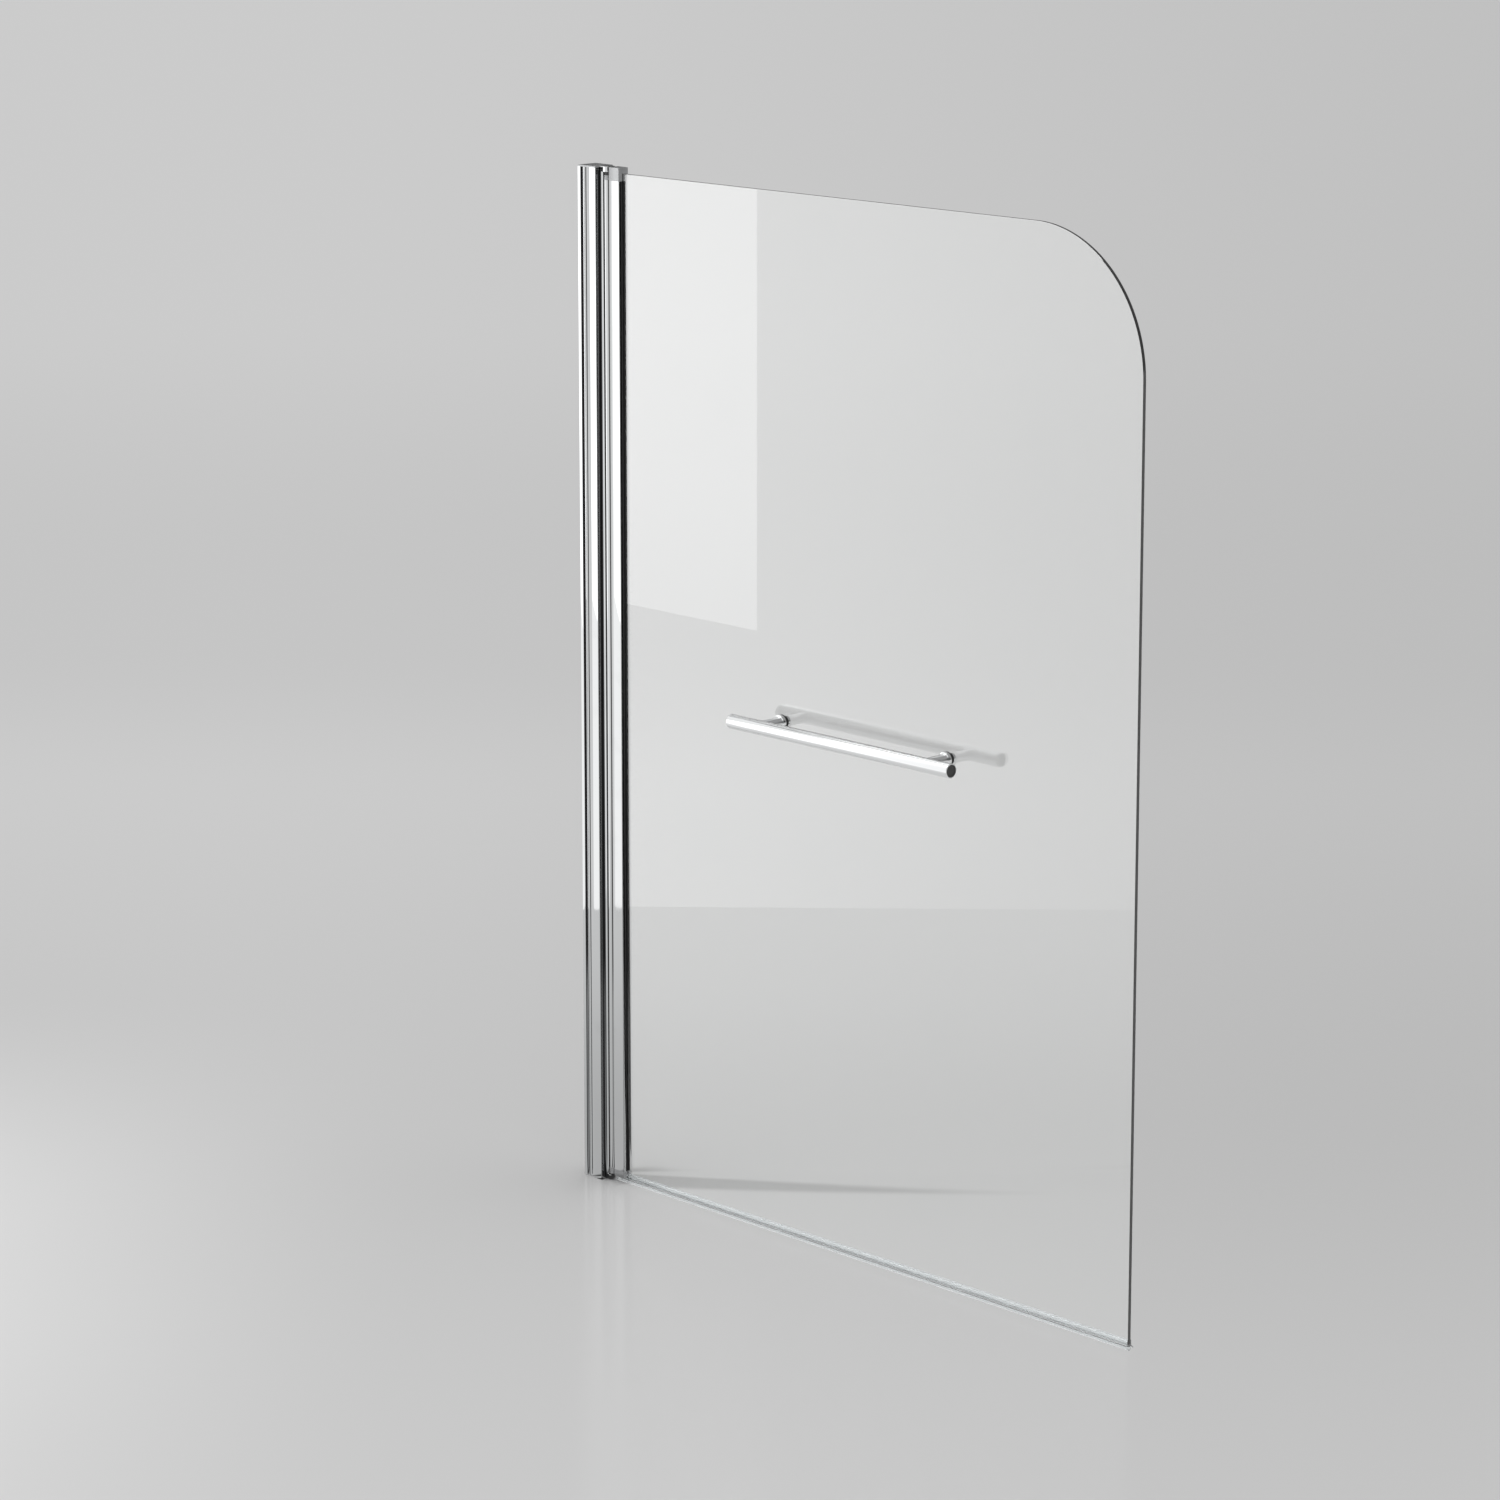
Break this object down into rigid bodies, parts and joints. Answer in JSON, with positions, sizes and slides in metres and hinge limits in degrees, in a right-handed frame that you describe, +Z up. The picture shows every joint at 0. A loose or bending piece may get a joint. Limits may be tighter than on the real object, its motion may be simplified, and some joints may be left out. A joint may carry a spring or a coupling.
{
  "type": "bath screen",
  "caption": "Pivoting glass bath screen: clear leaf with a rounded upper corner, chrome wall channel and clamp profile, clear bottom seal and a towel bar.",
  "frame": {"origin": "centre line of the wall channel's back face, at its lower end on the bath rim", "axes": "+X from the wall along the closed glass, +Z up, the towel bar on the -Y side"},
  "size_m": [1, 0.0762, 1.4],
  "materials": {
    "chrome_profile": "bright polished",
    "chrome_bar": "bright polished",
    "clear_glass": "clear polished",
    "clear_vinyl": "clear flexible",
    "grey_cap": "silver grey moulded",
    "black_rubber": "matt",
    "black_nylon": "satin",
    "steel_screw": "plain",
    "clear_sleeve": "translucent"
  },
  "bodies": {
    "wall_side": {"wall_channel": "chrome_profile", "wall_channel_top_cap": "grey_cap"},
    "pivot_post": {"pivot_profile": "chrome_profile", "adjusting_screws": "steel_screw", "adjusting_screw_covers": "chrome_profile", "top_pivot_bracket": "chrome_profile", "bottom_pivot_bracket": "chrome_profile", "bracket_screws": "steel_screw", "top_pivot_pin": "steel_screw", "bottom_pivot_pin": "steel_screw", "hinge_wiper_seal": "black_rubber"},
    "glass_leaf": {"clamp_profile": "chrome_profile", "top_bush": "black_nylon", "bottom_bush": "black_nylon", "clamp_top_cap": "grey_cap", "clamp_bottom_cap": "grey_cap", "front_gasket": "black_rubber", "rear_gasket": "black_rubber", "clamp_grub_screws": "steel_screw", "glass_panel": "clear_glass", "bottom_seal": "clear_vinyl", "towel_bar": "chrome_bar", "bar_end_plug_left": "black_nylon", "bar_end_plug_right": "black_nylon", "handle_post_left": "chrome_bar", "handle_post_right": "chrome_bar", "bar_fixing_screws": "steel_screw", "front_washers": "black_rubber", "rear_washers": "black_rubber", "glass_hole_sleeves": "clear_sleeve", "rear_screws": "chrome_bar"}
  },
  "joints": [
    {"name": "width_adjust", "type": "slide", "parent": "wall_side", "child": "pivot_post", "axis": [1, 0, 0], "range_m": [0, 0.015]},
    {"name": "screen_pivot", "type": "hinge", "parent": "pivot_post", "child": "glass_leaf", "pos_m": [0.044, 0, 0], "axis": [0, 0, 1], "range_deg": [-85, 90]}
  ]
}
